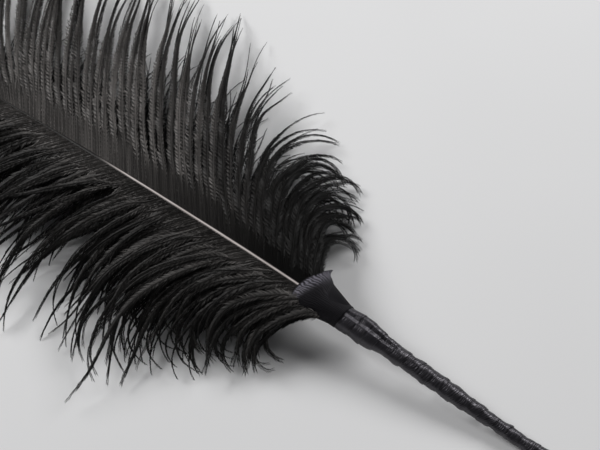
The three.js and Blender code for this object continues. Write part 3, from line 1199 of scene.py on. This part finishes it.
        # painted light on a group's first two and painted shade on its second two, besides random differences
        tone = (1.0 + 0.7 * (shared[1] - 0.5) + 0.4 * (own[0] - 0.5)) * (1.0 + shading_depth * (0.8 - 1.7 * sunk))
        # painted shade on a lead barb's near flank
        return Ways(*mixed, tone * (1.0 - 0.5 * lead * (1.0 - onward)), among, sunk, onward, lead, spread)

    def blades(self, barbs: Barbs, seats: Seats, ways: Ways) -> Array:
        """The points of the barbules: a root, two at the middle where the blade is widest, and a tip.

        A barbule leaves at its lean angle from the barb's direction, less so in the outer half of
        the barb, and its own outer half leans further in towards the barb's tip and falls more. The
        tips of a group of four draw together.

        Args:
            barbs: the barbs.
            seats: where the barbules sit.
            ways: how they differ.

        Returns:
            Four points for each barbule.
        """
        barb, share, spread = seats.barb, seats.share, ways.spread
        fluff = barbs.fluff[barb]
        closing = 0.6 * (1.0 - 0.7 * fluff) * smooth(0.42, 0.8, share)
        lean = np.radians(self.lean[0] + self.lean[1] * ways.lean) * (1.0 - closing)
        lean = lean + np.radians(self.wider_lean) * spread
        size = self.barbule_length * barbs.fringe[barb] * (0.72 + 0.56 * ways.size)
        size = size * (0.5 + 0.5 * smooth(0.0, 0.10, share))
        size = size * (1.0 - (0.6 - 0.35 * fluff) * smooth(0.5, 1.0, share))
        near = barbs.near[barb] + (1.0 - barbs.near[barb]) * smooth(0.35, 0.5, share)
        size = size * (1.0 + 0.25 * spread) * np.where(ways.onward > 0, 1.0, near)
        fall = (self.fall[0] + self.fall[1] * (ways.fall - 0.5)) * (1.0 - 0.85 * spread)
        fall = fall - self.sinking * ways.sunk
        ripple = np.sin(2.0 * np.pi * (share * barbs.length[barb] / self.ripples + scatter(barb, 9)))
        twist = self.twist[0] * ripple + self.twist[1] * (ways.twist - 0.5)
        together = (ways.among - 1.5) * barbs.spacing[barb] * (1.0 - smooth(0.4, 0.6, share))
        behind = together[:, None] * seats.ahead

        def heading(angle: Array, slope: Array) -> Array:
            """The direction at an angle from the barb's own, on a slope."""
            flat = seats.ahead * np.cos(angle)[:, None] + seats.lateral * np.sin(angle)[:, None]
            return unit(flat + UP * slope[:, None])

        inner = heading(lean, fall)
        middle = seats.root + inner * (0.5 * size)[:, None] - 0.08 * behind
        outer = heading(np.maximum(lean - self.lean_in, 0.05), fall - self.outer_fall * (1.0 - 0.7 * spread))
        tip = middle + outer * (0.5 * size)[:, None] - 0.15 * behind
        facing = unit(UP * np.cos(twist)[:, None] + np.cross(inner, UP) * np.sin(twist)[:, None])
        wide = 0.5 * self.barbule_width * barbs.spacing[barb] / self.barbule_spacing
        half_width = wide * (1.0 - 0.45 * smooth(0.65, 1.0, share)) * (1.0 + 0.15 * spread)
        across = unit(np.cross(inner, facing)) * half_width[:, None]
        points = np.stack([seats.root, middle + across, middle - across, tip], 1)
        points[..., 2] = np.maximum(points[..., 2], self.lowest_blade)
        return points

    def barbules(self, barbs: Barbs, columns: Array, random: np.random.Generator) -> Shell:
        """Fine blades on both flanks of every barb, bent once, leaning to its tip and drooping.

        Groups of four cling together: the first two of each have painted light, and the second two
        are darker with painted shade and lie lower. The tips are darker with painted shade. A barb on
        top of its lock spreads its far flank over the lock and keeps its near one short and darker
        with painted shade.

        Args:
            barbs: the barbs.
            columns: each barb's place across the UV map, from 0 to 1.
            random: the source of scattered values.

        Returns:
            Four points and two triangles for each barbule.
        """
        seats = self.seated(barbs)
        ways = self.ways(barbs, seats, random)
        points = self.blades(barbs, seats, ways)
        one = np.array([[0, 1, 2], [2, 1, 3]])
        faces = (one[None] + 4 * np.arange(len(points))[:, None, None]).reshape(-1, 3)
        half = 0.42 / seats.room
        width = 1.0 / len(barbs.length)
        out = np.array([0.07, 0.28, 0.28, 0.48])
        up = np.array([0.0, 1.0, -1.0, 0.0])
        column = columns[seats.barb][:, None] + seats.flank[:, None] * out * width
        spot = np.stack([column, seats.share[:, None] + up * half[:, None]], -1)
        uv = spot[:, one].reshape(-1, 3, 2)
        tone = np.clip(self.pale_and_lit(barbs, seats.barb, seats.share) * ways.tone, 0.0, 1.0)
        # painted shade: each blade darker at its middle and most at its tip, where it droops
        tone = tone[:, None] * np.array([1.0, 0.9, 0.9, 0.5])
        return Shell(points.reshape(-1, 3), (faces,), (uv,), {"tone": tone.ravel()})

    def fringed(self, barbs: Barbs, seed: int) -> Shell:
        """Cores and barbules of some barbs as one mesh."""
        columns = (np.arange(len(barbs.length)) + 0.5) / len(barbs.length)
        cores = self.cores(barbs, columns)
        fringe = self.barbules(barbs, columns, np.random.default_rng(seed))
        return Shell(
            np.concatenate([cores.points, fringe.points]),
            (cores.faces[0], fringe.faces[0] + len(cores.points)),
            (cores.uvs[0], fringe.uvs[0]),
            {"tone": np.concatenate([cores.marks["tone"], fringe.marks["tone"]])},
        )

    def build(self, name: str, pieces: int) -> list[bpy.types.Object]:
        """Makes the side's vane in a few pieces along the shaft.

        Args:
            name: what the pieces' names start with.
            pieces: how many there are.

        Returns:
            The pieces, from the binding to the tip.
        """
        barbs = self.grown()
        share = np.cumsum(barbs.length) / barbs.length.sum()
        made = []
        for number in range(pieces):
            chosen = (share > number / pieces) & (share <= (number + 1) / pieces + 1e-9)
            if number == 0:
                chosen |= share <= 0
            shell = self.fringed(barbs.part(chosen), 100 * self.growth.seed + number)
            piece = shell.into_object(f"{name}_{number + 1}", BARBS, False)
            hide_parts("feather")
            log.info("%s: %d barbs, %d triangles", piece.name, chosen.sum(), sum(len(f) for f in shell.faces))
            made.append(piece)
        return made


# ---------------------------------------------------------------------------------------------
# The ribbon


@dataclass(frozen=True)
class Lump:
    """A soft lump on the wound ribbon."""

    rise: float
    angle: float  # degrees round the quill, from +Y to +Z
    breadth: float  # degrees
    along: float
    length: float

    def height(self, degrees: Array, along: Array) -> Array:
        """Its rise times one bell curve round the quill and one along it."""
        return self.rise * bump(degrees, self.angle, self.breadth) * bump(along, self.along, self.length)


@dataclass(frozen=True)
class Ribbon:
    """A strip of satin ribbon, folded into a collar at the vane and wound down the quill."""

    shaft: Shaft
    width: float = 15.0
    collar: float = 14.6  # from the collar's mouth to the first wound turn
    mouth_lower: float = 7.4
    mouth_upper: float = 12.8
    mouth_slant: float = 5.2
    mouth_half_height: float = 2.7
    mouth_bulge: float = 2.6  # how far the middle of the mouth's edge runs forward
    pitch: float = 5.1  # from one turn to the next
    end: float = -2.0  # how far along the binding ends
    step: float = 0.30  # down from each turn's free edge
    thickness: float = 0.22  # of the wound strip
    body: float = 3.1  # how far the outermost layer lies from the centre line
    slim: float = 0.85  # how much nearer it lies by the quill's end
    swell: float = 1.5  # and how much further out below the collar
    crease_depth: float = 0.7  # of the crease beside the bulge
    crease_angle: float = 84.0  # degrees, from +Y to +Z
    crease_breadth: float = 11.0  # degrees
    bulge: Lump = Lump(0.7, 50.0, 22.0, 73.5, 5.0)
    knuckle: Lump = Lump(0.6, 46.0, 24.0, 65.0, 3.2)
    first_turned: float = 0.9  # turns, where the wound strip comes out from under the collar
    turn_sides: int = 56  # places round a wound turn
    collar_sides: int = 96
    collar_rows: int = 34
    cap_sides: int = 48
    cap_rows: int = 9
    cap_start: float = 1.2  # where the ribbon is tucked over the quill's end
    cap_folds: float = 9.0  # how many small folds it has there
    fold_slope: float = 0.34  # of the collar's folded edge, up from the mouth
    fold_narrow: float = 2.2  # its width at the -Y corner
    fold_wide: float = 9.0  # and towards the +Y one
    fold_reach: float = 9.0  # from the quill to where it has that width
    fold_drop: float = 0.2  # of the collar's outside at the mouth
    edge_radius: float = 0.25  # of the mouth's rolled edge
    collar_threads: float = 1.3  # units of the map round the collar's mouth

    def body_radius(self, along: Array) -> Array:
        """How far the outermost layer lies from the centre line: a slow swell with soft lumps."""
        thinner = self.slim * (1.0 - smooth(18.0, 42.0, along))
        radius = self.body - thinner + self.swell * smooth(62.0, 74.0, along)
        return radius + 0.12 * np.sin(along * 0.55) + 0.15 * bump(along, 0.0, 6.0)

    def creased(self, along: Array, angle: Array) -> Array:
        """What folds add to the radius: a crease beside a bulge below the collar, and small lumps.

        Args:
            along: the distance from the quill's end.
            angle: the angle round the quill, from +Y to +Z, in radians.

        Returns:
            The addition in millimetres.
        """
        degrees = np.degrees(np.mod(angle, 2.0 * np.pi))
        near = smooth(58.0, 66.0, along) * (1.0 - smooth(84.0, 88.0, along))
        crease = -self.crease_depth * bump(degrees, self.crease_angle, self.crease_breadth) * near
        folds = crease + self.bulge.height(degrees, along) + self.knuckle.height(degrees, along)
        lumps = 0.09 * np.sin(3.0 * angle + 0.9 * along) + 0.08 * np.sin(2.0 * angle - 1.7 * along + 1.0)
        return folds + lumps * (1.0 - 0.5 * near)

    def around(self, along: Array, angle: Array, radius: Array) -> Array:
        """Points at a radius and angle round the quill's centre line, not below the surface."""
        points = self.shaft.centre(along)
        points[..., 1] += radius * np.cos(angle)
        points[..., 2] += radius * np.sin(angle)
        points[..., 2] = np.maximum(points[..., 2], 0.0)
        return points

    def winding(self) -> Shell:
        """The wound strip: a flat closed section carried along a helix, each turn lapped on the next.

        The free edge runs at along = first - pitch * turns, turning from +Y under the quill. Across
        the strip the outer face sinks from the step's height at that edge to two layers deeper at
        the covered edge, and the inner face lies a thickness under it.
        """
        first = self.shaft.quill - self.collar
        turns = (first - self.end) / self.pitch
        rows = int(turns * self.turn_sides)
        turned = np.linspace(self.first_turned, turns + self.first_turned, rows)
        across = np.concatenate([[0.0, 0.015, 0.05], np.linspace(0.12, 1.0, 12)])
        profile = np.concatenate([across, across[::-1]])
        inner = np.concatenate([np.zeros(len(across)), np.ones(len(across))])
        angle = -2.0 * np.pi * turned[:, None]
        wander = 0.35 * np.sin(2.3 * turned) + 0.25 * np.sin(5.1 * turned + 1.0)
        edge = first - self.pitch * turned + wander
        along = np.clip(edge[:, None] + self.width * profile, self.end, first + self.width)
        height = self.step * (1.0 + 0.35 * np.sin(3.7 * turned + 0.4))[:, None]
        layer = height * (1.0 - 3.0 * profile)
        rolled = -0.10 * (1.0 - smooth(0.0, 0.05, profile))
        radius = self.body_radius(along) + self.creased(along, angle) + layer + rolled
        radius = radius - inner * self.thickness
        shrink = smooth(self.end - 0.5, self.end + 1.2, along)
        radius = radius * (0.9 + 0.1 * shrink)
        points = self.around(along, angle + 0 * along, radius)
        count, half = len(profile), len(across)
        quads, places = lattice(rows, count, True)
        length = np.concatenate([[0.0], np.cumsum(np.linalg.norm(np.diff(points[:, 0], axis=0), axis=1))])
        v = length / length[-1]
        u = np.concatenate([across * 0.45, 1.0 - across[::-1] * 0.45, [1.0]])
        uv = np.stack([u[places[..., 1]], v[places[..., 0]]], -1)
        ends = []
        for row in (0, rows - 1):
            ring = row * count + np.arange(count)
            a, b = ring[: half - 1], ring[1:half]
            c, d = ring[::-1][1:half], ring[::-1][: half - 1]
            ends.append(np.stack([a, d, c, b] if row == 0 else [a, b, c, d], 1))
        ends = np.concatenate(ends)
        tiny = np.array([[0.0, 0.0], [0.002, 0.0], [0.002, 0.002], [0.0, 0.002]])
        end_uv = np.broadcast_to(tiny, (len(ends), 4, 2))
        return Shell(points.reshape(-1, 3), (quads, ends), (uv, end_uv), {})

    def build(self) -> list[bpy.types.Object]:
        """Makes the ribbon's pieces."""
        wound = self.winding()
        winding = wound.into_object("ribbon_winding", SATIN, True)
        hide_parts("ribbon")
        log.info("ribbon_winding: %d faces", len(wound.faces[0]))
        return [winding, *self.build_collar(), *self.build_cap()]

    def collar_outline(self, share: Array, angle: Array) -> Array:
        """The collar's outside: an oval mouth, wider to +Y and slanted, drawn in to the first turn.

        Args:
            share: 0 at the mouth and 1 at the first wound turn.
            angle: the angle round the quill, from +Y to +Z, in radians.

        Returns:
            The points.
        """
        inner = self.shaft.quill - self.collar
        around = self.body_radius(np.array(inner)) + self.step
        across = np.cos(angle)
        mouth = np.where(across > 0.0, self.mouth_upper, self.mouth_lower)
        narrow = np.clip(share, 0.0, 1.0)
        narrowing = np.where(across > 0.0, 1.0 - (1.0 - narrow) ** 1.8, narrow**1.4)
        reach = mouth + (around - mouth) * narrowing
        height = self.mouth_half_height + (around - self.mouth_half_height) * narrow
        sideways = reach * across
        front = self.shaft.quill - self.mouth_slant * (0.3 + 0.7 * sideways / self.mouth_upper)
        middle = (self.mouth_upper - self.mouth_lower) / 2.0
        half = (self.mouth_upper + self.mouth_lower) / 2.0
        front = front + self.mouth_bulge * (1.0 - ((sideways - middle) / half) ** 2)
        along = front + (inner - front) * share
        points = self.shaft.centre(along)
        points[..., 1] += sideways
        flat = 0.35 * (1.0 - narrow)
        points[..., 2] += height * np.sin(angle) * np.abs(np.sin(angle)) ** flat
        return points

    def lifted(self, share: Array, angle: Array) -> tuple[Array, Array, Array]:
        """The collar's outside with its folded edge, the direction out of it, and the painted highlight's
        mark on that edge.

        Behind the mouth the outside rises by slope * width * (1 - (1 - t)^1.35), t being 0 at the
        mouth and 1 at the folded edge's width, which grows from the -Y corner to the +Y one. The rise fades
        to nothing towards the first turn, and is full on top and small on the sides.

        Args:
            share: 0 at the mouth and 1 at the first wound turn.
            angle: the angle round the quill, from +Y to +Z, in radians.

        Returns:
            The points, the unit vectors, and 1 on the fold's slope and 0 elsewhere.
        """
        base = self.collar_outline(share, angle)
        centre = self.shaft.centre(-base[..., 0])
        outward = unit((base - centre) * np.array([0.0, 1.0, 1.6]))
        sideways = base[..., 1] - centre[..., 1]
        widening = smooth(-self.mouth_lower, self.fold_reach, sideways)
        width = self.fold_narrow + (self.fold_wide - self.fold_narrow) * widening
        run = share * self.collar / width
        lift = self.fold_slope * width * (1.0 - (1.0 - np.clip(run, 0.0, 1.0)) ** 1.35) - self.fold_drop
        on_top = smooth(-0.2, 0.6, np.sin(angle))
        lift = lift * (1.0 - smooth(0.35, 0.95, share)) * (0.3 + 0.7 * on_top)
        crumple = 0.07 * np.sin(5.0 * angle + 6.0 * share) * smooth(0.3, 0.8, share)
        # the painted highlight's mark on the slope of the folded edge, on top
        fold = smooth(0.02, 0.12, run) * (1.0 - smooth(0.4, 1.1, run)) * smooth(0.0, 0.08, np.sin(angle))
        return base + outward * (lift + crumple)[..., None], outward, fold

    def build_collar(self) -> list[bpy.types.Object]:
        """The folded collar as one shell: its inside, a narrow rolled edge and its outside.

        The outside runs on over the first turn as far as the ribbon's edge, which follows the
        helix, and steps down there by the ribbon's thickness.
        """
        sides = self.collar_sides
        angle = np.linspace(0.0, 2.0 * np.pi, sides, endpoint=False)
        turned = np.mod(-angle / (2.0 * np.pi), 1.0)
        helix = self.pitch * (turned - smooth(0.93, 1.0, turned)) / self.collar
        share = np.linspace(0.0, 1.0, self.collar_rows)[:, None] ** 1.5
        share = share * (1.0 + helix * smooth(0.4, 1.0, share))
        outside, outward, fold = self.lifted(share, angle + 0.0 * share)
        roll = np.radians(np.linspace(-90.0, 75.0, 8))[:, None, None]
        edge = self.edge_radius
        forward = np.array([-1.0, 0.0, 0.0])
        rolled = outside[0] + forward * edge * np.cos(roll) + outward[0] * edge * (np.sin(roll) - 1.0)
        inner_share = np.linspace(0.5, 0.02, 8)[:, None]
        inside, away, _ = self.lifted(inner_share, angle + 0.0 * inner_share)
        inside = inside - away * 2.0 * edge
        last = outside[-1] - outward[-1] * self.step
        rows = np.concatenate([inside, rolled, outside, last[None]])
        rows[..., 2] = np.maximum(rows[..., 2], 0.0)
        count = len(rows)
        quads, places = lattice(count, sides, True)
        step = np.linalg.norm(np.diff(rows[:, sides // 4], axis=0), axis=1)
        v = np.concatenate([[0.0], np.cumsum(step)]) / 100.0
        spread = np.arange(sides + 1) / sides
        uv = np.stack([spread[places[..., 1]] * self.collar_threads, v[places[..., 0]]], -1)
        start, finish = np.arange(sides), (count - 1) * sides + np.arange(sides)
        closing = np.stack([start, finish, np.roll(finish, -1), np.roll(start, -1)], 1)
        closing_uv = np.stack([np.stack([spread[:-1], 0.0 * angle], 1)] * 4, 1)
        before = np.zeros((len(inside) + len(rolled), sides))
        # the painted highlight's mark, on the outside's rows only
        fold = np.concatenate([before, fold, before[:1]]).ravel()
        shell = Shell(rows.reshape(-1, 3), (quads, closing), (uv, closing_uv), {"fold": fold})
        piece = shell.into_object("ribbon_collar", SHADED_SATIN, True)
        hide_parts("ribbon")
        log.info("ribbon_collar: %d faces", len(quads))
        return [piece]

    def build_cap(self) -> list[bpy.types.Object]:
        """The end of the binding: the ribbon tucked over the quill's end, gathered in small folds.

        Circles shrink towards the axis while they move out as a shallow dome, and the folds are a
        cosine round them that fades towards the rim.
        """
        sides, rings = self.cap_sides, self.cap_rows
        angle = np.linspace(0.0, 2.0 * np.pi, sides, endpoint=False)
        share = np.linspace(0.0, 1.0, rings)[:, None]
        rim = float(self.body_radius(np.array(self.end))) + 0.15
        radius = rim * np.cos(0.5 * np.pi * share) ** 0.7
        folds = 1.0 + 0.10 * np.cos(self.cap_folds * angle) * np.sin(np.pi * share)
        out = (self.cap_start - self.end) * np.sin(0.5 * np.pi * share) ** 0.6
        along = self.cap_start - out + 0 * angle
        points = self.around(along, angle + 0 * share, np.maximum(radius * folds, 0.02))
        quads, places = lattice(rings, sides, True)
        start = np.arange(sides)
        inner = self.around(np.array([1.6]), np.array([0.0]), np.array([0.0]))
        outer = self.around(np.array([self.end]), np.array([0.0]), np.array([0.0]))
        cloud = np.concatenate([points.reshape(-1, 3), inner, outer])
        caps = (
            fan(start, len(cloud) - 2, False),
            fan(start + (rings - 1) * sides, len(cloud) - 1, True),
        )
        uv = places[..., ::-1] / np.array([sides, 40.0])
        small = np.broadcast_to(np.array([[0.0, 0.0], [0.01, 0.0], [0.0, 0.01]]), (sides, 3, 2))
        shell = Shell(cloud, (quads[:, ::-1], *caps), (uv[:, ::-1], small, small), {})
        piece = shell.into_object("ribbon_end", SATIN, True)
        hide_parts("ribbon")
        return [piece]


# ---------------------------------------------------------------------------------------------
# The stage


@dataclass(frozen=True)
class Eye:
    """The camera: where it looks and from where, in degrees and millimetres."""

    azimuth: float = 34.5
    elevation: float = 60.0
    distance: float = 317.0
    target: Triple = (-117.5, 24.7, 8.0)
    lens: float = 50.0

    def build(self) -> bpy.types.Object:
        """Makes the camera on a sphere round its target, level with the horizon."""
        turn, rise = math.radians(self.azimuth), math.radians(self.elevation)
        level = Vector((-math.sin(turn), math.cos(turn), 0.0))
        ahead = level * math.cos(rise) - Vector((0.0, 0.0, 1.0)) * math.sin(rise)
        across = Vector((math.cos(turn), math.sin(turn), 0.0))
        above = across.cross(ahead)
        data = bpy.data.cameras.new("camera")
        data.lens = self.lens
        data.clip_start = 0.01
        camera = bpy.data.objects.new("camera", data)
        place = (Vector(self.target) - ahead * self.distance) * MM
        axes = Matrix((across, above, -ahead)).transposed()
        camera.matrix_world = Matrix.Translation(place) @ axes.to_4x4()
        bpy.context.scene.collection.objects.link(camera)
        bpy.context.scene.camera = camera
        return camera


@dataclass(frozen=True)
class SoftLight:
    """A square soft light that points at the feather."""

    name: str
    place: Triple  # millimetres
    side: float  # millimetres
    power: float
    colour: Triple = (1.0, 1.0, 1.0)
    aim: Triple = (-120.0, 10.0, 0.0)  # millimetres

    def build(self) -> bpy.types.Object:
        """Makes the light, turned so that it faces its aim."""
        data = bpy.data.lights.new(self.name, "AREA")
        data.size = self.side * MM
        data.energy = self.power
        data.color = self.colour
        lamp = bpy.data.objects.new(self.name, data)
        away = Vector(self.place) - Vector(self.aim)
        turn = away.to_track_quat("Z", "Y").to_matrix().to_4x4()
        lamp.matrix_world = Matrix.Translation(Vector(self.place) * MM) @ turn
        bpy.context.scene.collection.objects.link(lamp)
        return lamp


@dataclass(frozen=True)
class Studio:
    """A plain pale floor, soft daylight and a pale sky."""

    floor_half: float = 1500.0
    floor_colour: Triple = (0.80, 0.80, 0.805)
    floor_dim: float = 0.97  # what the colour is times where the floor is darkest
    floor_clouds: float = 6.0  # paler and darker places in a metre
    floor_roughness: float = 0.9
    floor_specular: float = 0.1
    sky: Triple = (1.0, 1.0, 1.02)
    sky_strength: float = 0.09
    lights: tuple[SoftLight, ...] = (
        SoftLight("right_window", (220.0, 860.0, 760.0), 520.0, 8.0),
        SoftLight("left_window", (-1000.0, -130.0, 720.0), 480.0, 8.8),
    )

    def build(self) -> None:
        """Makes the floor, its material, the lights and the sky."""
        half = self.floor_half * MM
        mesh = bpy.data.meshes.new("floor")
        corners = [(-half, -half, 0.0), (half, -half, 0.0), (half, half, 0.0), (-half, half, 0.0)]
        mesh.from_pydata(corners, [], [(0, 1, 2, 3)])
        floor = bpy.data.objects.new("floor", mesh)
        nodes = Nodes("pale_floor")
        cloud = nodes.noise(nodes.place(), self.floor_clouds, 2.0)
        dim = tuple(self.floor_dim * c for c in self.floor_colour)
        colour = nodes.ramp(cloud, ((0.35, dim), (0.65, self.floor_colour)))
        nodes.dress(colour, self.floor_roughness, self.floor_specular)
        mesh.materials.append(nodes.made)
        bpy.context.scene.collection.objects.link(floor)
        for light_source in self.lights:
            light_source.build()
        world = bpy.data.worlds.new("sky")
        world.use_nodes = True
        background = world.node_tree.nodes["Background"]
        background.inputs["Color"].default_value = (*self.sky, 1.0)
        background.inputs["Strength"].default_value = self.sky_strength
        bpy.context.scene.world = world
        bpy.context.scene.view_settings.view_transform = "Standard"


def main() -> None:
    """Builds the camera, the feather, the ribbon and the studio."""
    logging.basicConfig(level=logging.INFO, format="%(name)s: %(message)s")
    Eye().build()
    shaft = Shaft()
    horn = shaft.shell().into_object("shaft", HORN, True)
    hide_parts("feather")
    log.info("shaft: %d points", len(horn.data.vertices))
    Vane(shaft, SPREAD_SIDE, -0.035).build("vane_spread", 4)
    Vane(shaft, DROOPING_SIDE, -0.075).build("vane_drooping", 3)
    Ribbon(shaft).build()
    Studio().build()


if __name__ == "__main__":
    main()
